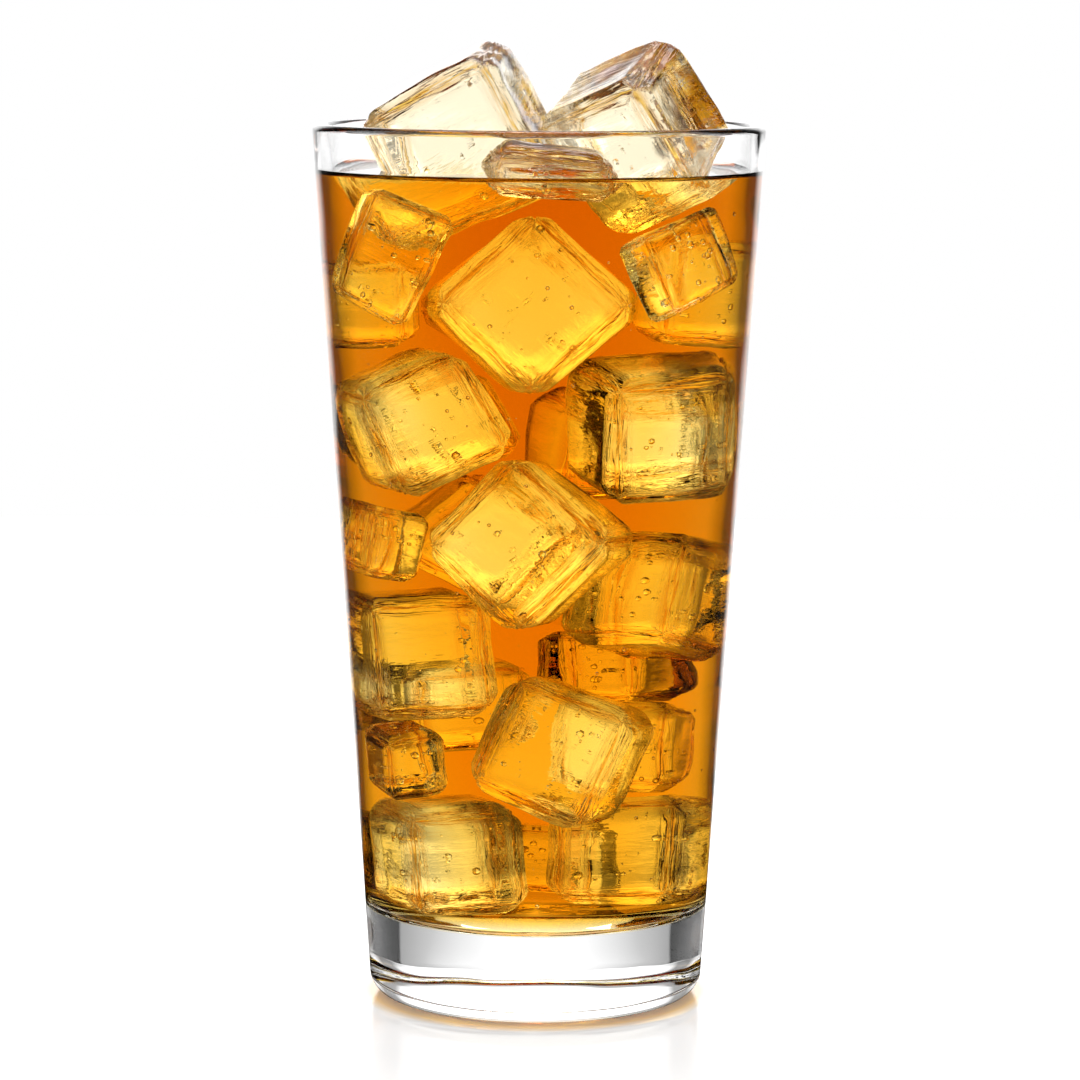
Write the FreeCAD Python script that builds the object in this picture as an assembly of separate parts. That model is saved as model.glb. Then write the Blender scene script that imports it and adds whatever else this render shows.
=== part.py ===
"""A tall glass of iced tea: a heavy-based tumbler, the tea in it and the ice that stands out of the tea.

Millimetres, +Z up. The origin is the centre of the ring that the glass stands on.
The tumbler and the tea are turned from outlines, so their points are (radius, height) pairs.
"""
import FreeCAD, Part
import math
import os

# The tumbler, pressed in soda-lime glass.
HEIGHT = 160.0          # from the table to the top of the rim
MOUTH_DIAMETER = 82.4   # outside, at the rim
FOOT_DIAMETER = 60.8    # outside, where the straight wall would meet the table
RIM_WALL = 2.7          # wall thickness at the rim
FLOOR_WALL = 3.1        # wall thickness beside the floor
BASE_THICKNESS = 15.7   # table to the floor inside
HEEL_RADIUS = 4.0       # outer edge between the wall and the underside
FLOOR_RADIUS = 5.0      # inner edge between the wall and the floor
RIM_ROUNDING = 0.47     # radius of each rim edge as a share of the wall, near a full round
FOOT_RING_WIDTH = 2.2   # flat ring that touches the table
PUNT_DEPTH = 1.3        # hollow under the base
PUNT_BLEND = 3.0        # radius where the hollow meets the ring and its own ceiling

# The tea.
LEVEL_BELOW_RIM = 9.0

# The ice that stands out of the tea. Tray-made cubes, a little narrower at one end.
ICE_TAPER = 1.2         # how much narrower the small end is, over both sides
ICE_ROUNDING = 4.0      # melted edges
ROUNDING_LIMIT = 0.45   # the most that a rounding may be of a cube's thinnest side
ICE_ROOM = 37.87        # inner radius at the tea's surface that the ice below is laid out for
# name: (centre, from the axis at the tea's surface), (width, depth, height), (spin, lean, nod)
# Spin turns a cube about the upright axis, lean then tips it sideways about the Y axis, and nod
# last tips it forwards about the X axis, in degrees.
ICE = {
    "ice_left": ((-13.6, 6.0, 5.4), (29.0, 25.0, 28.5), (-10.0, -29.0, 6.0)),
    "ice_right": ((17.2, -4.3, 7.4), (25.0, 25.0, 25.0), (-33.0, 20.0, -64.0)),
    "ice_chip": ((2.0, -25.0, 1.4), (24.0, 11.0, 9.0), (8.0, 6.0, 10.0)),
}

AXIS_X = FreeCAD.Vector(1, 0, 0)
AXIS_Y = FreeCAD.Vector(0, 1, 0)
AXIS_Z = FreeCAD.Vector(0, 0, 1)


def outer_radius(z):
    """Radius of the straight outer wall at height z."""
    return (FOOT_DIAMETER + (MOUTH_DIAMETER - FOOT_DIAMETER) * z / HEIGHT) / 2


def inner_radius(z):
    """Radius of the straight inner wall at height z, thicker towards the floor."""
    share = (z - BASE_THICKNESS) / (HEIGHT - BASE_THICKNESS)
    return outer_radius(z) - FLOOR_WALL - (RIM_WALL - FLOOR_WALL) * share


def turned(corners):
    """Solid of revolution about Z from (radius, height, rounding) corners, in order round the outline."""
    points = [FreeCAD.Vector(r, 0, z) for r, z, _ in corners]
    count = len(points)
    edges = []
    leave = []
    arrive = []
    for i, corner in enumerate(points):
        back = (points[i - 1] - corner).normalize()
        on = (points[(i + 1) % count] - corner).normalize()
        radius = corners[i][2]
        if radius == 0:
            arrive.append(corner)
            leave.append(corner)
            continue
        half = back.getAngle(on) / 2
        reach = radius / math.tan(half)
        start = corner + back * reach
        end = corner + on * reach
        middle = corner + (back + on).normalize() * (radius / math.sin(half) - radius)
        edges.append(Part.Arc(start, middle, end).toShape())
        arrive.append(start)
        leave.append(end)
    for i in range(count):
        following = (i + 1) % count
        if leave[i].distanceToPoint(arrive[following]) > 1e-6:
            edges.append(Part.LineSegment(leave[i], arrive[following]).toShape())
    outline = Part.Wire(Part.__sortEdges__(edges))
    return Part.Face(outline).revolve(FreeCAD.Vector(0, 0, 0), AXIS_Z, 360)


def make_tumbler():
    """Straight taper, near full-round rim, thick base, rounded heel and a shallow hollow underneath."""
    rim_edge = RIM_WALL * RIM_ROUNDING
    ring_inside = outer_radius(0) - HEEL_RADIUS - FOOT_RING_WIDTH
    hollow_edge = ring_inside - 2 * PUNT_DEPTH
    return turned([
        (0, PUNT_DEPTH, 0),
        (hollow_edge, PUNT_DEPTH, PUNT_BLEND),
        (ring_inside, 0, PUNT_BLEND),
        (outer_radius(0), 0, HEEL_RADIUS),
        (outer_radius(HEIGHT), HEIGHT, rim_edge),
        (inner_radius(HEIGHT), HEIGHT, rim_edge),
        (inner_radius(BASE_THICKNESS), BASE_THICKNESS, FLOOR_RADIUS),
        (0, BASE_THICKNESS, 0),
    ])


def make_tea():
    """The drink as one solid that fills the glass up to its level and wets floor and wall."""
    level = HEIGHT - LEVEL_BELOW_RIM
    return turned([
        (0, BASE_THICKNESS, 0),
        (inner_radius(BASE_THICKNESS), BASE_THICKNESS, FLOOR_RADIUS),
        (inner_radius(level), level, 0),
        (0, level, 0),
    ])


def make_ice(centre, size, turns):
    """A cube with melted edges and a slight taper, turned and set in its place.

    Size and place follow the room inside the glass, so that the ice keeps clear of the wall.
    """
    level = HEIGHT - LEVEL_BELOW_RIM
    fit = inner_radius(level) / ICE_ROOM
    width, depth, height = (side * fit / 2 for side in size)
    inset = ICE_TAPER * fit / 2
    cube = Part.makeWedge(
        -width, -height, -depth, -depth + inset, -width + inset,
        width, height, depth, depth - inset, width - inset,
    )
    cube.rotate(FreeCAD.Vector(0, 0, 0), AXIS_X, 90)
    rounding = min(ICE_ROUNDING, ROUNDING_LIMIT * min(size)) * fit
    cube = cube.makeFillet(rounding, cube.Edges)
    for axis, turn in zip((AXIS_Z, AXIS_Y, AXIS_X), turns):
        cube.rotate(FreeCAD.Vector(0, 0, 0), axis, turn)
    cube.translate(FreeCAD.Vector(*centre) * fit + AXIS_Z * level)
    return cube


tumbler = make_tumbler()
tea = make_tea()
nodes = {"tumbler": tumbler}
for name, (centre, size, turns) in ICE.items():
    cube = make_ice(centre, size, turns)
    tea = tea.cut(cube)
    nodes[name] = cube
nodes["tea"] = tea

os.makedirs("parts", exist_ok=True)
for name, shape in nodes.items():
    solid = shape.Solids[0]
    solid.exportStep(f"parts/{name}.step")
    print(name, len(shape.Solids), "solid", round(solid.Volume / 1000, 2), "cm3")
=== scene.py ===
"""A glass of iced tea: the tumbler, the ice in it, the air in the ice, the tea and the tea's surface.

Metres, +Z up, with the centre of the glass's foot at the origin. The sizes of the pieces are in
millimetres, and are turned to metres with MM where they are used.
"""
import math
import random

import bpy
import numpy as np
from mathutils import Matrix, Vector, noise


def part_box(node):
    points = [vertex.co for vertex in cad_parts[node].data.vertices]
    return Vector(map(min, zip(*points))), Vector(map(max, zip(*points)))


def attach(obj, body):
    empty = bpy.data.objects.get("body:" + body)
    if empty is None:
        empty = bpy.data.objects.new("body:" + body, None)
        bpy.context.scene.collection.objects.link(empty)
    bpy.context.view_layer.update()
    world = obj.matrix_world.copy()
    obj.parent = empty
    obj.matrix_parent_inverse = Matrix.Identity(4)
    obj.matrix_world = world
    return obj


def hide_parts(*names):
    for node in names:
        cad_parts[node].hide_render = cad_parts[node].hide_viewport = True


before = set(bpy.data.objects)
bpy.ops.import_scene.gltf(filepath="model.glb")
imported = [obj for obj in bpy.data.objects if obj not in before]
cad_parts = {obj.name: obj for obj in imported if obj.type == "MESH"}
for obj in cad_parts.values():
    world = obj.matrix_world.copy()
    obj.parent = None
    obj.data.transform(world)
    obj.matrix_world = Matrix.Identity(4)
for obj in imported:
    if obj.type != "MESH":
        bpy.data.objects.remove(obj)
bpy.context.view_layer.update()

# ---------------------------------------------------------------------------------------------
# Camera: a long lens a little above the rim, level enough to see the mouth as a thin ellipse.
CAMERA_PLACE = (0.0005, -0.777, 0.185)
CAMERA_LENS = 142.4
SENSOR_WIDTH = 36
CAMERA_PITCH = 7.41
CAMERA_ROLL = 0.27
camera_data = bpy.data.cameras.new("camera")
camera_data.lens = CAMERA_LENS
camera_data.sensor_width = SENSOR_WIDTH
camera = bpy.data.objects.new("camera", camera_data)
camera.location = CAMERA_PLACE
pitch = Matrix.Rotation(math.radians(90 - CAMERA_PITCH), 3, "X")
roll = Matrix.Rotation(math.radians(CAMERA_ROLL), 3, "Z")
camera.rotation_euler = (pitch @ roll).to_euler()
bpy.context.collection.objects.link(camera)
bpy.context.scene.camera = camera
bpy.context.scene.view_settings.view_transform = "Standard"

# Light crosses many skins of glass, tea, ice and air. With fewer bounces the ice's edges go black.
BOUNCES = 20
MIRROR_BOUNCES = 10
bpy.context.scene.cycles.max_bounces = BOUNCES
bpy.context.scene.cycles.transmission_bounces = BOUNCES
bpy.context.scene.cycles.glossy_bounces = MIRROR_BOUNCES


# ---------------------------------------------------------------------------------------------
# Studio: a white sweep lit from all round, with dark cards standing between the white panels,
# so that clear glass shows its edges. Seen with no glass between, the room is plain white.
def add_node(tree, kind, settings=None, inputs=None, links=None):
    """Adds a node, with its settings, its socket values and the sockets that feed it.

    Of a colour mix's sockets, 0 is the share, 6 and 7 are the colours, and output 2 is the result.
    """
    node = tree.nodes.new(kind)
    for key, value in (settings or {}).items():
        setattr(node, key, value)
    for key, value in (inputs or {}).items():
        node.inputs[key].default_value = value
    for key, source in (links or {}).items():
        tree.links.new(source, node.inputs[key])
    return node


def linear(code):
    """Linear colour of an sRGB hex code such as #c0ffee."""
    parts = [int(code[i : i + 2], 16) / 255 for i in (1, 3, 5)]
    return tuple(c / 12.92 if c <= 0.04045 else ((c + 0.055) / 1.055) ** 2.4 for c in parts) + (1.0,)


def set_ramp(ramp, levels):
    """Sets a colour ramp to (position, grey level) steps."""
    steps = ramp.color_ramp.elements
    steps.remove(steps[0])
    for i, (position, level) in enumerate(levels):
        step = steps[0] if i == 0 else steps.new(position)
        step.position = position
        step.color = (level, level, level, 1)


def add_cards(tree, place, levels):
    """White panels before and behind the glass and dark cards at its sides.

    Gives the panels' grey, by the share of the way out that points sideways, then the place's
    height, and its distance from the axis.
    """
    apart = add_node(tree, "ShaderNodeSeparateXYZ", links={0: place})
    across = add_node(tree, "ShaderNodeCombineXYZ", links={0: apart.outputs["X"], 1: apart.outputs["Y"]})
    reach = add_node(tree, "ShaderNodeVectorMath", {"operation": "LENGTH"}, links={0: across.outputs[0]})
    sideways = add_node(
        tree,
        "ShaderNodeMath",
        {"operation": "DIVIDE"},
        links={0: apart.outputs["X"], 1: reach.outputs["Value"]},
    )
    side = add_node(tree, "ShaderNodeMath", {"operation": "ABSOLUTE"}, links={0: sideways.outputs[0]})
    panels = add_node(tree, "ShaderNodeValToRGB", links={0: side.outputs[0]})
    set_ramp(panels, levels)
    return panels.outputs[0], apart.outputs["Z"], reach.outputs["Value"]


def add_mirrored(tree, ray, place, colour):
    """Darkens what polished walls mirror from the sides, and leaves what is seen through them."""
    narrow, _, _ = add_cards(tree, place, MIRRORED_CARDS)
    mirror_only = add_node(
        tree,
        "ShaderNodeMath",
        {"operation": "SUBTRACT", "use_clamp": True},
        links={0: ray.outputs["Is Glossy Ray"], 1: ray.outputs["Is Transmission Ray"]},
    )
    dimmed = add_node(
        tree,
        "ShaderNodeMix",
        {"data_type": "RGBA", "blend_type": "MULTIPLY"},
        links={0: mirror_only.outputs[0], 6: colour, 7: narrow},
    )
    return dimmed.outputs[2]


# Steps of (share that points sideways, grey): the room's cards, those on the floor just behind
# the glass, which its base shows, and the narrower panel that its walls mirror.
FAR_CARDS = [(0.30, 1.0), (0.56, 0.9), (0.68, 0.5), (0.73, 0.2), (0.84, 0.2), (0.92, 0.8), (0.97, 1.0)]
NEAR_CARDS = [(0.12, 0.76), (0.40, 0.42), (0.625, 0.27), (0.65, 0.03), (0.95, 0.03), (0.98, 0.5)]
MIRRORED_CARDS = [(0.40, 1.0), (0.54, 0.04)]
# Steps of (height, where 0 is level and 1 straight up, brightness): the panels, where the
# ceiling takes over from them, and the ceiling.
PANEL_LIGHT = [(0.0, 1.3), (0.14, 2.2)]
CEILING_START = [(0.30, 0.0), (0.42, 1.0)]
CEILING_LIGHT = [(0.62, 0.5), (0.74, 1.3)]
WHITE = linear("#ffffff")

world = bpy.data.worlds.new("white studio")
world.use_nodes = True
bpy.context.scene.world = world
tree = world.node_tree
tree.nodes.clear()
ray = add_node(tree, "ShaderNodeLightPath")
way = add_node(tree, "ShaderNodeTexCoord")
cards, height, _ = add_cards(tree, way.outputs["Generated"], FAR_CARDS)
panel_light = add_node(tree, "ShaderNodeValToRGB", links={0: height})
set_ramp(panel_light, PANEL_LIGHT)
panels = add_node(
    tree,
    "ShaderNodeMix",
    {"data_type": "RGBA", "blend_type": "MULTIPLY"},
    {0: 1.0},
    {6: cards, 7: panel_light.outputs[0]},
)
ceiling_start = add_node(tree, "ShaderNodeValToRGB", links={0: height})
set_ramp(ceiling_start, CEILING_START)
ceiling_light = add_node(tree, "ShaderNodeValToRGB", links={0: height})
set_ramp(ceiling_light, CEILING_LIGHT)
room = add_node(
    tree,
    "ShaderNodeMix",
    {"data_type": "RGBA"},
    links={0: ceiling_start.outputs[0], 6: panels.outputs[2], 7: ceiling_light.outputs[0]},
)
mirrored = add_mirrored(tree, ray, way.outputs["Generated"], room.outputs[2])
seen = add_node(
    tree,
    "ShaderNodeMix",
    {"data_type": "RGBA"},
    {7: WHITE},
    {0: ray.outputs["Is Camera Ray"], 6: mirrored},
)
glow = add_node(tree, "ShaderNodeBackground", inputs={"Strength": 1.0}, links={"Color": seen.outputs[2]})
add_node(tree, "ShaderNodeOutputWorld", links={"Surface": glow.outputs[0]})

# The floor: white acrylic, with sizes in millimetres from the glass's axis. Its near cards fan out
# from a point behind the glass. Under the foot, the amber light that comes down through the tea is
# painted into its colour, and painted as an amber glow in what the glass shows of it. The fill keeps
# it white to the camera, but for the shadow close to the glass.
MM = 0.001
FLOOR_SIDE = 1400
FLOOR_DROP = 0.1
CARDS_BEHIND = 36
NEAR_CARDS_END = 130
FAR_CARDS_START = 240
FLOOR_WHITE = linear("#f3f3f3")
FLOOR_ROUGHNESS = 0.15
FLOOR_IOR = 1.5
# Where the painted amber light under the foot begins and is full, and its colour.
AMBER_LIGHT_OUTSIDE, AMBER_LIGHT_INSIDE = 33.3, 30.5
PAINTED_AMBER_LIGHT = linear("#fccb70")
GLOW_OUTSIDE, GLOW_INSIDE = 34, 31
GLOW_SHARE = 0.75
GLOW_AMBER = linear("#f7b52c")
FILL_START, FILL_END = 80, 300
FILL_NEAR, FILL_FAR = 0.16, 0.9
THROUGH_GLASS = 1.4
bpy.ops.object.select_all(action="DESELECT")
bpy.ops.mesh.primitive_plane_add(size=FLOOR_SIDE * MM, location=(0, 0, -FLOOR_DROP * MM))
floor = bpy.context.active_object
floor.name = "floor"
sweep = bpy.data.materials.new("white acrylic sweep")
sweep.use_nodes = True
tree = sweep.node_tree
tree.nodes.clear()
ray = add_node(tree, "ShaderNodeLightPath")
place = add_node(tree, "ShaderNodeTexCoord")
behind = add_node(
    tree,
    "ShaderNodeVectorMath",
    {"operation": "SUBTRACT"},
    {1: (0, CARDS_BEHIND * MM, 0)},
    {0: place.outputs["Object"]},
)
far_cards, _, reach = add_cards(tree, place.outputs["Object"], FAR_CARDS)
near_cards, _, _ = add_cards(tree, behind.outputs[0], NEAR_CARDS)
away = add_node(
    tree,
    "ShaderNodeMapRange",
    inputs={"From Min": NEAR_CARDS_END * MM, "From Max": FAR_CARDS_START * MM},
    links={"Value": reach},
)
cards = add_node(
    tree,
    "ShaderNodeMix",
    {"data_type": "RGBA"},
    links={0: away.outputs["Result"], 6: near_cards, 7: far_cards},
)
# Painted light: the floor's colour turns amber under the foot, where light that comes down through the tea
# would fall.
amber_light_share = add_node(
    tree,
    "ShaderNodeMapRange",
    inputs={"From Min": AMBER_LIGHT_OUTSIDE * MM, "From Max": AMBER_LIGHT_INSIDE * MM},
    links={"Value": reach},
)
amber_lit_floor = add_node(
    tree,
    "ShaderNodeMix",
    {"data_type": "RGBA"},
    {6: FLOOR_WHITE, 7: PAINTED_AMBER_LIGHT},
    {0: amber_light_share.outputs["Result"]},
)
acrylic = add_node(
    tree,
    "ShaderNodeBsdfPrincipled",
    inputs={"Roughness": FLOOR_ROUGHNESS, "IOR": FLOOR_IOR},
    links={"Base Color": amber_lit_floor.outputs[2]},
)
lift = add_node(
    tree,
    "ShaderNodeMapRange",
    inputs={"From Min": FILL_START * MM, "From Max": FILL_END * MM, "To Min": FILL_NEAR, "To Max": FILL_FAR},
    links={"Value": reach},
)
shown = add_node(
    tree,
    "ShaderNodeMath",
    {"operation": "MULTIPLY"},
    links={0: ray.outputs["Is Camera Ray"], 1: lift.outputs["Result"]},
)
fill = add_node(tree, "ShaderNodeEmission", inputs={"Color": WHITE}, links={"Strength": shown.outputs[0]})
lit = add_node(tree, "ShaderNodeAddShader", links={0: acrylic.outputs[0], 1: fill.outputs[0]})
# Painted light: an amber glow under the foot in what the glass shows of the floor.
glow = add_node(
    tree,
    "ShaderNodeMapRange",
    inputs={"From Min": GLOW_OUTSIDE * MM, "From Max": GLOW_INSIDE * MM, "To Min": 0.0, "To Max": GLOW_SHARE},
    links={"Value": reach},
)
glowing = add_node(
    tree,
    "ShaderNodeMix",
    {"data_type": "RGBA", "blend_type": "MULTIPLY"},
    {7: GLOW_AMBER},
    {0: glow.outputs["Result"], 6: cards.outputs[2]},
)
mirrored = add_mirrored(tree, ray, place.outputs["Object"], glowing.outputs[2])
through = add_node(tree, "ShaderNodeEmission", inputs={"Strength": THROUGH_GLASS}, links={"Color": mirrored})
surface = add_node(
    tree,
    "ShaderNodeMixShader",
    links={0: ray.outputs["Is Glossy Ray"], 1: lit.outputs[0], 2: through.outputs[0]},
)
add_node(tree, "ShaderNodeOutputMaterial", links={"Surface": surface.outputs[0]})
floor.data.materials.append(sweep)

# One softbox above and a little behind the glass lays a soft shadow at its foot.
LAMP_PLACE = (0.0, 0.25, 0.95)
LAMP_AIM = (0.0, 0.0, 0.08)
LAMP_WIDTH = 0.7
LAMP_DEPTH = 0.5
LAMP_POWER = 6.0
softbox = bpy.data.lights.new("top softbox", "AREA")
softbox.shape = "RECTANGLE"
softbox.size = LAMP_WIDTH
softbox.size_y = LAMP_DEPTH
softbox.energy = LAMP_POWER
lamp = bpy.data.objects.new("top softbox", softbox)
lamp.location = LAMP_PLACE
lamp.rotation_euler = (Vector(LAMP_AIM) - Vector(LAMP_PLACE)).to_track_quat("-Z", "Y").to_euler()
bpy.context.collection.objects.link(lamp)

# ---------------------------------------------------------------------------------------------
# The tumbler: soda-lime glass, pressed in a mould and fire-polished, so that every edge is round.
# A straight taper, a thick base and a shallow hollow, the punt, underneath.
GLASS_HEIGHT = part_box("tumbler")[1][2] / MM
MOUTH_DIAMETER = 82.4
FOOT_DIAMETER = 60.8
RIM_WALL = 2.7
FLOOR_WALL = 3.1
BASE_THICKNESS = 15.7
HEEL_RADIUS = 4.0
FLOOR_RADIUS = 5.0
FOOT_RING_WIDTH = 2.2
PUNT_DEPTH = 1.3
PUNT_SIDE_WIDTH = 2 * PUNT_DEPTH
PUNT_BLEND = 3.0
RIM_ROUNDING = 0.47 * RIM_WALL
TURN_STEPS = 192
ARC_STEPS = 10
LONGEST_RUN = 9.0
MERGE_DISTANCE = 0.001
# The tea's level, and how high it climbs the wall above that, where it wets the glass.
LEVEL_BELOW_RIM = 9.0
LEVEL = GLASS_HEIGHT - LEVEL_BELOW_RIM
MENISCUS_HEIGHT = 0.9
CONTACT = LEVEL + MENISCUS_HEIGHT


def outer_radius(z):
    return (FOOT_DIAMETER + (MOUTH_DIAMETER - FOOT_DIAMETER) * z / GLASS_HEIGHT) / 2


def inner_radius(z):
    share = (z - BASE_THICKNESS) / (GLASS_HEIGHT - BASE_THICKNESS)
    return outer_radius(z) - FLOOR_WALL - (RIM_WALL - FLOOR_WALL) * share


def rounded(corners):
    """Points along an outline of (radius, height, rounding) corners, with its arcs and long runs divided."""
    points = []
    for i, (r, z, rounding) in enumerate(corners):
        corner = Vector((r, z))
        if rounding == 0:
            points.append(corner)
            continue
        back = (Vector(corners[i - 1][:2]) - corner).normalized()
        on = (Vector(corners[i + 1][:2]) - corner).normalized()
        half = back.angle(on) / 2
        centre = corner + (back + on).normalized() * (rounding / math.sin(half))
        start = corner + back * (rounding / math.tan(half)) - centre
        turn = start.angle_signed(corner + on * (rounding / math.tan(half)) - centre)
        for k in range(ARC_STEPS + 1):
            points.append(centre + Matrix.Rotation(-turn * k / ARC_STEPS, 2) @ start)
    divided = [points[0]]
    for start, end in zip(points, points[1:]):
        count = max(1, math.ceil((end - start).length / LONGEST_RUN))
        divided += [start.lerp(end, k / count) for k in range(1, count + 1)]
    return divided


def turn_piece(name, outline):
    """A piece turned on the glass's axis: the outline is drawn by extruding a point, then spun."""
    bpy.ops.object.select_all(action="DESELECT")
    bpy.ops.mesh.primitive_plane_add(size=MM)
    piece = bpy.context.active_object
    piece.name = piece.data.name = name
    bpy.ops.object.mode_set(mode="EDIT")
    bpy.ops.mesh.merge(type="CENTER")
    bpy.ops.transform.translate(value=(outline[0].x * MM, 0, outline[0].y * MM))
    for start, end in zip(outline, outline[1:]):
        move = (end - start) * MM
        bpy.ops.mesh.extrude_region_move(TRANSFORM_OT_translate={"value": (move.x, 0, move.y)})
    bpy.ops.mesh.select_all(action="SELECT")
    bpy.ops.mesh.spin(steps=TURN_STEPS, angle=math.tau, center=(0, 0, 0), axis=(0, 0, 1))
    bpy.ops.mesh.remove_doubles(threshold=MERGE_DISTANCE * MM)
    bpy.ops.mesh.normals_make_consistent(inside=False)
    bpy.ops.object.mode_set(mode="OBJECT")
    bpy.ops.object.transform_apply(location=True, rotation=True, scale=True)
    bpy.ops.object.shade_smooth()
    return piece


ring_inside = outer_radius(0) - HEEL_RADIUS - FOOT_RING_WIDTH
tumbler = turn_piece("tumbler_glass", rounded([
    (0, PUNT_DEPTH, 0),
    (ring_inside - PUNT_SIDE_WIDTH, PUNT_DEPTH, PUNT_BLEND),
    (ring_inside, 0, PUNT_BLEND),
    (outer_radius(0), 0, HEEL_RADIUS),
    (outer_radius(GLASS_HEIGHT), GLASS_HEIGHT, RIM_ROUNDING),
    (inner_radius(GLASS_HEIGHT), GLASS_HEIGHT, RIM_ROUNDING),
    (inner_radius(CONTACT), CONTACT, 0),
    (inner_radius(BASE_THICKNESS), BASE_THICKNESS, FLOOR_RADIUS),
    (0, BASE_THICKNESS, 0),
]))


def clear_material(name, ior, glint=0.0):
    """A clear, polished material that bends light by its index against what lies outside it.

    Glint is the strength of what it mirrors when seen straight on. Its edges mirror in any case.
    """
    material = bpy.data.materials.new(name)
    material.use_nodes = True
    sockets = material.node_tree.nodes["Principled BSDF"].inputs
    sockets["Base Color"].default_value = WHITE
    sockets["Roughness"].default_value = 0.0
    sockets["IOR"].default_value = ior
    sockets["Specular Tint"].default_value = (glint, glint, glint, 1)
    sockets["Transmission Weight"].default_value = 1.0
    return material


GLASS_IOR = 1.5
TEA_IOR = 1.333
WAVE_LENGTH = 14.0
WAVE_HEIGHT = 0.25
WAVE_DETAIL = 1.0


def glass_material(name, ior):
    """Colourless glass: bright where it faces the eye, dark where the wall turns away from it.

    Its mould leaves faint waves in it, so that what is seen through it wobbles a little.
    """
    material = clear_material(name, ior)
    tree = material.node_tree
    place = add_node(tree, "ShaderNodeTexCoord")
    waves = add_node(
        tree,
        "ShaderNodeTexNoise",
        inputs={"Scale": 1 / (WAVE_LENGTH * MM), "Detail": WAVE_DETAIL},
        links={"Vector": place.outputs["Object"]},
    )
    relief = add_node(
        tree, "ShaderNodeBump", inputs={"Distance": WAVE_HEIGHT * MM}, links={"Height": waves.outputs["Fac"]}
    )
    tree.links.new(relief.outputs["Normal"], tree.nodes["Principled BSDF"].inputs["Normal"])
    return material


# The inner wall, where tea wets it, bends light far less than where air touches the glass.
tumbler.data.materials.append(glass_material("soda-lime glass, fire-polished", GLASS_IOR))
tumbler.data.materials.append(glass_material("soda-lime glass, wet with tea", GLASS_IOR / TEA_IOR))
TOLERANCE = 0.1
for face in tumbler.data.polygons:
    centre = face.center / MM
    mid_wall = inner_radius(centre.z) + RIM_WALL / 2
    inside = math.hypot(centre.x, centre.y) < mid_wall
    if inside and BASE_THICKNESS - TOLERANCE < centre.z < CONTACT:
        face.material_index = 1
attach(tumbler, "root")
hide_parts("tumbler")

# ---------------------------------------------------------------------------------------------
# Standing ice: two tray-made cubes and a flat chip of clear ice, with melted, rounded edges, wet
# all over. They float among the sunk ice and stand out of the tea.
# name: (centre, from the axis at the tea's surface), (width, depth, height), (spin, lean, nod)
STANDING_ICE = {
    "ice_left": ((-13.6, 6.0, 5.4), (29.0, 25.0, 28.5), (-10.0, -29.0, 6.0)),
    "ice_right": ((17.2, -4.3, 7.4), (25.0, 25.0, 25.0), (-33.0, 20.0, -64.0)),
    "ice_chip": ((2.0, -25.0, 1.4), (24.0, 11.0, 9.0), (8.0, 6.0, 10.0)),
}
STANDING_CUTS = 34
STANDING_ROUNDING_LIMIT = 0.45
ICE_ROUNDING = 4.0
MELTED_AWAY = 0.25
# An edge is round at 0 and a flat bevel at 1.
CHAMFER = 0.55
# How much the mesh crowds towards a cube's edges, where it is round.
CROWDING = 0.7
# Its faces swell and ripple: the length and height of the waves.
SWELL_LENGTH, SWELL_HEIGHT = 13.0, 0.6
RIPPLE_LENGTH, RIPPLE_HEIGHT = 5.0, 0.22
# Melting leaves fine hollows along its edges. How sharply they and the edge band begin.
STREAK_WIDTH = 1.3
STREAK_LENGTH = 8.0
STREAK_DEPTH = 1.2
STREAK_START = 2.2
BAND_START = 1.6
# How far each cube's pattern lies from the one before.
DRIFT = (7.3, -3.1, 5.7)


def turned(turns):
    """The turn of a cube by its spin, lean and nod in degrees."""
    spin, lean, nod = (math.radians(angle) for angle in turns)
    return Matrix.Rotation(nod, 3, "X") @ Matrix.Rotation(lean, 3, "Y") @ Matrix.Rotation(spin, 3, "Z")


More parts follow.
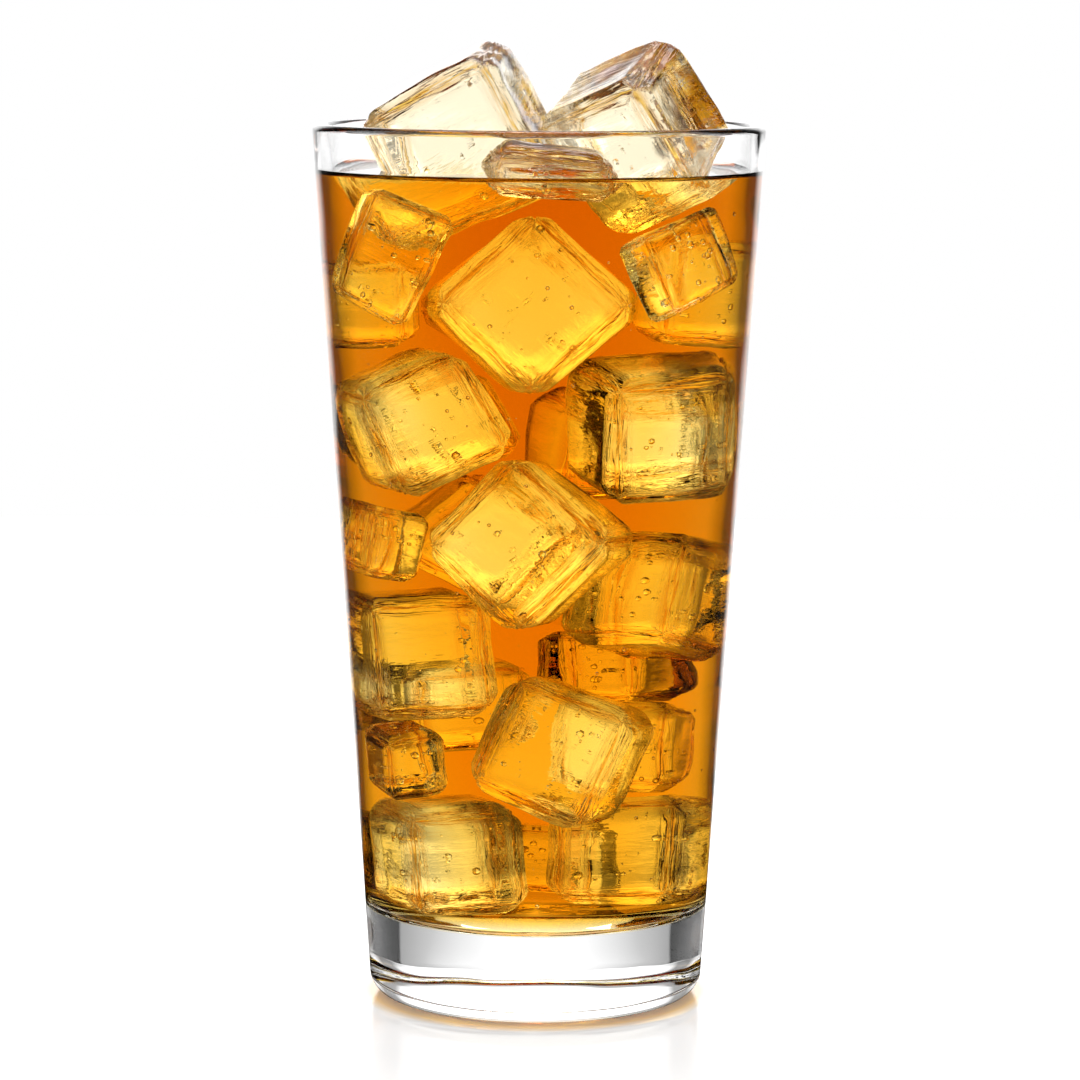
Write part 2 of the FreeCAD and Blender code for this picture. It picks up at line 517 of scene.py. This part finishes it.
def melt_cube(name, centre, size, turns, rounding, seed, cuts):
    """A cube with round, uneven edges and wavy faces, turned and set in its place.

    It keeps two patterns: edge_band, which is 1 on its edges and 0 on its faces, and grain, a
    place drawn out along the nearest edge, for the streaks in the material.
    """
    bpy.ops.object.select_all(action="DESELECT")
    bpy.ops.mesh.primitive_cube_add(size=1)
    cube = bpy.context.active_object
    cube.name = cube.data.name = name
    bpy.ops.object.mode_set(mode="EDIT")
    bpy.ops.mesh.subdivide(number_cuts=cuts)
    bpy.ops.object.mode_set(mode="OBJECT")
    mesh = cube.data
    size = np.array(size)
    half = size / 2
    points = np.empty(len(mesh.vertices) * 3, np.float32)
    mesh.vertices.foreach_get("co", points)
    points = points.reshape(-1, 3)
    points = (CROWDING * np.sin(points * math.pi) / 2 + (1 - CROWDING) * points) * size
    # Every point lies a rounding away from the core. One part of the way out is large on a face,
    # two are on an edge, and all three at a corner.
    core = np.clip(points, rounding - half, half - rounding)
    away = points - core
    away /= np.linalg.norm(away, axis=1)[:, None]
    parts = np.sort(np.abs(away), axis=1)
    on_edge = np.clip((parts[:, 1] - parts[:, 0]) * STREAK_START, 0, 1)
    reach = rounding * (1 - CHAMFER + CHAMFER / np.abs(away).sum(axis=1))
    along = np.argmin(np.abs(away), axis=1)
    scale = np.full(points.shape, 1 / STREAK_WIDTH)
    scale[np.arange(len(along)), along] = 1 / STREAK_LENGTH
    streaks = points * scale
    drift = Vector([step * seed for step in DRIFT])
    for i, (point, out) in enumerate(zip(core + away * reach[:, None], away)):
        spot = Vector(point)
        swell = noise.noise(spot / SWELL_LENGTH + drift) * SWELL_HEIGHT
        ripple = noise.noise(spot / RIPPLE_LENGTH + drift) * RIPPLE_HEIGHT
        streak = abs(noise.noise(Vector(streaks[i]) + drift)) * STREAK_DEPTH * on_edge[i]
        points[i] = point + out * (swell + ripple - streak - MELTED_AWAY)
    points = (points @ np.array(turned(turns)).T + np.array(centre)) * MM
    mesh.vertices.foreach_set("co", points.astype(np.float32).ravel())
    edge_band = mesh.attributes.new("edge_band", "FLOAT", "POINT")
    edge_band.data.foreach_set("value", np.clip(parts[:, 1] * BAND_START, 0, 1).astype(np.float32))
    grain = mesh.attributes.new("grain", "FLOAT_VECTOR", "POINT")
    grain.data.foreach_set("vector", (streaks + np.array(drift)).astype(np.float32).ravel())
    bpy.ops.object.shade_smooth()
    return cube


def pick(*pieces):
    """Selects only these pieces and makes the first one active."""
    bpy.ops.object.select_all(action="DESELECT")
    for piece in pieces:
        piece.select_set(True)
    bpy.context.view_layer.objects.active = pieces[0]


# The fine relief: its pattern's steps in a streak's width, its height, and its strength on a face.
GRAIN_STEPS = 1.1
GRAIN_DETAIL = 2.0
GRAIN_ROUGHNESS = 0.55
GRAIN_CURL = 0.6
RELIEF_HEIGHT = 1.0
FACE_RELIEF = 0.16
# The level of the pattern under which an edge's hollow is fully amber: painted amber light and shade, partly
# wet tea on the ice in air.
AMBER_FULL = 0.44


def ice_material(name, ior, glint, face_tint, wet_and_painted_amber, edge_relief, amber_start):
    """Clear, melting ice: pale, glassy faces, and streaky edges with amber in their hollows: painted amber
    light and shade, partly wet tea on ice in air.
    """
    material = clear_material(name, ior, glint)
    tree = material.node_tree
    grain = add_node(tree, "ShaderNodeAttribute", {"attribute_name": "grain"})
    edge_band = add_node(tree, "ShaderNodeAttribute", {"attribute_name": "edge_band"})
    melt = add_node(
        tree,
        "ShaderNodeTexNoise",
        inputs={
            "Scale": GRAIN_STEPS,
            "Detail": GRAIN_DETAIL,
            "Roughness": GRAIN_ROUGHNESS,
            "Distortion": GRAIN_CURL,
        },
        links={"Vector": grain.outputs["Vector"]},
    )
    depth = add_node(
        tree,
        "ShaderNodeMapRange",
        inputs={"To Min": FACE_RELIEF, "To Max": edge_relief},
        links={"Value": edge_band.outputs["Fac"]},
    )
    relief = add_node(
        tree,
        "ShaderNodeBump",
        inputs={"Distance": RELIEF_HEIGHT * MM},
        links={"Strength": depth.outputs["Result"], "Height": melt.outputs["Fac"]},
    )
    hollow = add_node(
        tree,
        "ShaderNodeMapRange",
        inputs={"From Min": amber_start, "From Max": AMBER_FULL},
        links={"Value": melt.outputs["Fac"]},
    )
    amber_share = add_node(
        tree,
        "ShaderNodeMath",
        {"operation": "MULTIPLY", "use_clamp": True},
        links={0: hollow.outputs["Result"], 1: edge_band.outputs["Fac"]},
    )
    # Painted light: amber in the edges' hollows stands in for tea-coloured light and shade bent by the edges,
    # partly wet tea on ice in air.
    tint = add_node(
        tree,
        "ShaderNodeMix",
        {"data_type": "RGBA"},
        {6: linear(face_tint), 7: linear(wet_and_painted_amber)},
        {0: amber_share.outputs[0]},
    )
    shader = tree.nodes["Principled BSDF"].inputs
    tree.links.new(relief.outputs["Normal"], shader["Normal"])
    tree.links.new(tint.outputs[2], shader["Base Color"])
    return material


# Ice in air is warm all over: painted amber light from the tea, with a little wet tea on it. The amber
# in the edges' hollows is painted amber light and shade, partly wet tea. Real ice, at an index of 1.31,
# all but vanishes in tea, so both have a higher one, at which their edges show.
ice_in_air = ice_material(
    "clear ice wet with tea, painted amber light",
    ior=1.45,
    glint=0.6,
    # The faces' warm cast is painted amber light from the tea, with a little wet tea.
    face_tint="#ede2c4",
    wet_and_painted_amber="#c48a22",
    edge_relief=0.45,
    amber_start=0.68,
)
# In tea, the amber in the edges' hollows is painted amber light and shade alone.
ice_in_tea = ice_material(
    "clear ice, in tea",
    ior=1.62 / TEA_IOR,
    glint=0.0,
    face_tint="#ffffff",
    wet_and_painted_amber="#e2a23c",
    edge_relief=1.0,
    amber_start=0.60,
)

standing = []
for seed, (name, (centre, size, turns)) in enumerate(STANDING_ICE.items(), start=1):
    spot = (centre[0], centre[1], LEVEL + centre[2])
    rounding = min(ICE_ROUNDING, STANDING_ROUNDING_LIMIT * min(size))
    cube = melt_cube(name + "_melted", spot, size, turns, rounding, seed, STANDING_CUTS)
    pick(cube)
    bpy.ops.object.mode_set(mode="EDIT")
    bpy.ops.mesh.select_all(action="SELECT")
    bpy.ops.mesh.bisect(plane_co=(0, 0, LEVEL * MM), plane_no=(0, 0, 1))
    bpy.ops.object.mode_set(mode="OBJECT")
    cube.data.materials.append(ice_in_air)
    cube.data.materials.append(ice_in_tea)
    for face in cube.data.polygons:
        face.material_index = int(face.center.z < LEVEL * MM)
    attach(cube, "root")
    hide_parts(name)
    standing.append(cube)

# ---------------------------------------------------------------------------------------------
# Sunk ice: cubes and blocks of the same clear ice, packed loosely through the tea, the larger in
# front and the smaller behind and between them. They are one piece.
# centre from the foot, side or (width, depth, height), (spin, lean, nod)
SUNK_ICE = [
    ((-1.0, -16.0, 129.0), 25.5, (2, 46, -4)),
    ((-17.5, -6.0, 107.5), 22.5, (4, -27, 1)),
    ((18.0, -4.0, 106.5), 24.5, (22, 1, 11)),
    ((-2.0, -17.0, 86.5), 25.0, (-10, 43, 4)),
    ((16.5, 1.5, 75.0), 21.5, (-24, 8, -16)),
    ((-18.0, -2.0, 64.5), 23.0, (6, -5, -1)),
    ((3.5, -15.0, 48.5), 23.5, (-7, 23, -5)),
    ((-13.0, -5.0, 27.5), 21.0, (13, -5, 1)),
    ((12.5, 3.5, 27.5), 20.5, (-6, 1, -9)),
    ((-1.5, 10.0, 127.5), 21.0, (4, 41, -2)),
    ((-13.0, 15.5, 106.0), 18.0, (7, -22, 2)),
    ((9.5, 18.5, 102.0), 19.5, (15, 5, 6)),
    ((-6.0, 13.5, 85.0), 19.5, (3, 37, 1)),
    ((8.0, 21.5, 60.5), 14.0, (-20, -1, -5)),
    ((-8.5, 19.0, 53.0), 16.5, (6, -7, -1)),
    ((10.5, 7.0, 46.5), 17.0, (1, 1, -9)),
    ((-13.0, 14.0, 25.0), 15.5, (10, -5, -1)),
    ((2.5, 21.5, 24.0), 13.5, (-7, 0, -4)),
    ((-23.5, 0.5, 85.0), 13.5, (29, 10, 0)),
    ((24.0, 2.0, 130.5), 19.5, (20, 6, -1)),
    ((-24.0, 5.5, 128.0), 16.0, (-14, -4, 1)),
    ((-23.0, -9.7, 137.2), (15.5, 11.0, 21.5), (-3, 24, 2)),
    ((22.8, -17.7, 136.3), (19.5, 9.0, 15.5), (50, -24, 3)),
    ((-20.5, -8.0, 45.5), 12.5, (15, -8, 10)),
]
SUNK_CUTS = 22
SUNK_ROUNDING_LIMIT = 0.18
FIRST_SUNK_SEED = 11


def three_sides(side):
    """Width, depth and height, of a cube given by its side or a block given by all three."""
    return side if isinstance(side, tuple) else (side, side, side)


sunk = []
for seed, (centre, side, turns) in enumerate(SUNK_ICE, start=FIRST_SUNK_SEED):
    size = three_sides(side)
    rounding = min(ICE_ROUNDING, SUNK_ROUNDING_LIMIT * min(size))
    sunk.append(melt_cube(f"sunk_{seed}", centre, size, turns, rounding, seed, SUNK_CUTS))
pick(*sunk)
bpy.ops.object.join()
sunk_ice = bpy.context.active_object
sunk_ice.name = sunk_ice.data.name = "ice_sunk"
bpy.ops.object.transform_apply(location=True, rotation=True, scale=True)
sunk_ice.data.materials.append(ice_in_tea)
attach(sunk_ice, "root")

# ---------------------------------------------------------------------------------------------
# Bubbles: air frozen into the ice, and beads of air that cling to the wall under the tea. Each
# kind is one piece of round balls, with many small ones and few large.
BUBBLE_SEED = 11
FROZEN_COUNT = 30
FROZEN_LEAST, FROZEN_SPREAD = 0.16, 0.6
CLEAR_SKIN = 1.2
CLINGING_COUNT = 260
CLINGING_LEAST, CLINGING_SPREAD = 0.12, 0.3
ABOVE_FLOOR = 6
BELOW_LEVEL = 1
WALL_GAP = 0.05
ICE_BUBBLE_IOR = 1.31


def scatter_balls(name, places):
    """One mesh of small balls at (centre, radius) places."""
    bpy.ops.object.select_all(action="DESELECT")
    bpy.ops.mesh.primitive_ico_sphere_add(subdivisions=2, radius=1)
    balls = bpy.context.active_object
    balls.name = balls.data.name = name
    unit = np.array([v.co[:] for v in balls.data.vertices])
    faces = np.array([face.vertices[:] for face in balls.data.polygons])
    points = np.concatenate([(unit * radius + np.array(centre)) * MM for centre, radius in places])
    corners = np.concatenate([faces + len(unit) * k for k in range(len(places))])
    balls.data.clear_geometry()
    balls.data.from_pydata(points.tolist(), [], corners.tolist())
    bpy.ops.object.shade_smooth()
    return balls


chance = random.Random(BUBBLE_SEED)
frozen = []
cubes = [((c[0], c[1], LEVEL + c[2]), size, turns) for c, size, turns in STANDING_ICE.values()] + SUNK_ICE
for centre, side, turns in cubes:
    for _ in range(FROZEN_COUNT):
        radius = FROZEN_LEAST + FROZEN_SPREAD * chance.random() ** 3
        inset = [(length / 2 - CLEAR_SKIN - radius) * chance.uniform(-1, 1) for length in three_sides(side)]
        frozen.append((Vector(centre) + turned(turns) @ Vector(inset), radius))
clinging = []
for _ in range(CLINGING_COUNT):
    z = chance.uniform(BASE_THICKNESS + ABOVE_FLOOR, LEVEL - BELOW_LEVEL)
    radius = CLINGING_LEAST + CLINGING_SPREAD * chance.random() ** 3
    way_round = chance.uniform(0, math.tau)
    away = inner_radius(z) - radius - WALL_GAP
    clinging.append((Vector((away * math.cos(way_round), away * math.sin(way_round), z)), radius))

# A bubble bends light as strongly as a ball of ice or tea in air does: a bright dot in a dark ring.
ice_bubbles = scatter_balls("ice_bubbles", frozen)
ice_bubbles.data.materials.append(clear_material("air bubble in ice", ICE_BUBBLE_IOR))
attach(ice_bubbles, "root")
tea_bubbles = scatter_balls("tea_bubbles", clinging)
tea_bubbles.data.materials.append(clear_material("air bubble in tea", TEA_IOR))
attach(tea_bubbles, "root")

# ---------------------------------------------------------------------------------------------
# The tea: clear amber black tea that fills the glass round the ice. It wets the wall, so it
# reaches just into it, and it climbs the wall in a meniscus.
WETTING = 0.12
MENISCUS_WIDTH = 0.9
MENISCUS_STEPS = [0.35, 0.7, 1.1, 1.6, 2.2, 3.0, 4.0]
SURFACE_RINGS = 30
OVERLAP = 0.05
# What tea takes out of the light in a metre is the density times what the colour lacks of white.
TEA_AMBER = linear("#f8e100")
TEA_DENSITY = 133.0


def wetted_radius(z):
    return inner_radius(z) + WETTING


def tea_outline():
    """Outline of the tea: along the floor, up the wall, and over the meniscus back to the axis."""
    outline = rounded([
        (0, BASE_THICKNESS - WETTING, 0),
        (wetted_radius(BASE_THICKNESS), BASE_THICKNESS - WETTING, FLOOR_RADIUS),
        (wetted_radius(LEVEL), LEVEL, 0),
    ])
    outline.pop()
    edge = wetted_radius(CONTACT)
    outline.append(Vector((edge, CONTACT)))
    for inset in MENISCUS_STEPS:
        rise = MENISCUS_HEIGHT * math.exp(-inset / MENISCUS_WIDTH)
        outline.append(Vector((edge - inset, LEVEL + rise)))
    flat = edge - MENISCUS_STEPS[-1]
    for k in range(1, SURFACE_RINGS + 1):
        outline.append(Vector((flat * (1 - k / SURFACE_RINGS), LEVEL)))
    return outline


def shrunk_copy(ice, name):
    """A copy of a piece of ice with its skin an overlap further in, to cut the tea with."""
    copy = ice.copy()
    copy.data = ice.data.copy()
    copy.name = name
    bpy.context.collection.objects.link(copy)
    normals = np.empty(len(copy.data.vertices) * 3, np.float32)
    points = np.empty_like(normals)
    copy.data.vertices.foreach_get("normal", normals)
    copy.data.vertices.foreach_get("co", points)
    copy.data.vertices.foreach_set("co", points - normals * OVERLAP * MM)
    copy.data.update()
    return copy


tea = turn_piece("tea_drink", tea_outline())
for cube in standing:
    cutter = shrunk_copy(cube, "cutter")
    cut = tea.modifiers.new("ice", "BOOLEAN")
    cut.operation = "DIFFERENCE"
    cut.solver = "EXACT"
    cut.object = cutter
    pick(tea)
    bpy.ops.object.modifier_apply(modifier="ice")
    bpy.data.objects.remove(cutter)
# The sunk ice lies wholly in the tea, so its pockets are the skin of its cubes, inside out.
pockets = shrunk_copy(sunk_ice, "pockets")
pick(pockets)
bpy.ops.object.mode_set(mode="EDIT")
bpy.ops.mesh.select_all(action="SELECT")
bpy.ops.mesh.flip_normals()
bpy.ops.object.mode_set(mode="OBJECT")
pick(tea, pockets)
bpy.ops.object.join()
bpy.ops.object.shade_smooth()
tea.data.materials.clear()

# Tea takes out blue first and then green: pale gold where it is thin, deep orange where it is
# thick. Its own skin bends nothing, because the glass and the ice on it bend light for both.
brew = clear_material("black tea, clear amber", 1.0)
tree = brew.node_tree
amber = add_node(tree, "ShaderNodeVolumeAbsorption", inputs={"Color": TEA_AMBER, "Density": TEA_DENSITY})
tree.links.new(amber.outputs[0], tree.nodes["Material Output"].inputs["Volume"])
tea.data.materials.append(brew)
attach(tea, "root")
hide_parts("tea")

# ---------------------------------------------------------------------------------------------
# The tea's surface, where it meets the air: an open sheet that lies just above the tea and bends
# the light there, bright from above and a mirror from below.
SURFACE_GAP = 0.02
LEVEL_SLACK = 0.01
FACING_UP = 0.2
surface = tea.copy()
surface.data = tea.data.copy()
surface.name = surface.data.name = "tea_surface"
bpy.context.collection.objects.link(surface)
pick(surface)
bpy.ops.object.mode_set(mode="EDIT")
bpy.ops.mesh.select_mode(type="FACE")
bpy.ops.mesh.select_all(action="DESELECT")
bpy.ops.object.mode_set(mode="OBJECT")
for face in surface.data.polygons:
    lowest = min(surface.data.vertices[v].co.z for v in face.vertices)
    on_top = lowest > (LEVEL - LEVEL_SLACK) * MM and face.normal.z > FACING_UP
    face.select = not on_top
bpy.ops.object.mode_set(mode="EDIT")
bpy.ops.mesh.delete(type="FACE")
bpy.ops.mesh.select_all(action="SELECT")
bpy.ops.transform.translate(value=(0, 0, SURFACE_GAP * MM))
bpy.ops.object.mode_set(mode="OBJECT")
surface.data.materials.clear()
surface.data.materials.append(clear_material("tea surface", TEA_IOR))
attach(surface, "root")
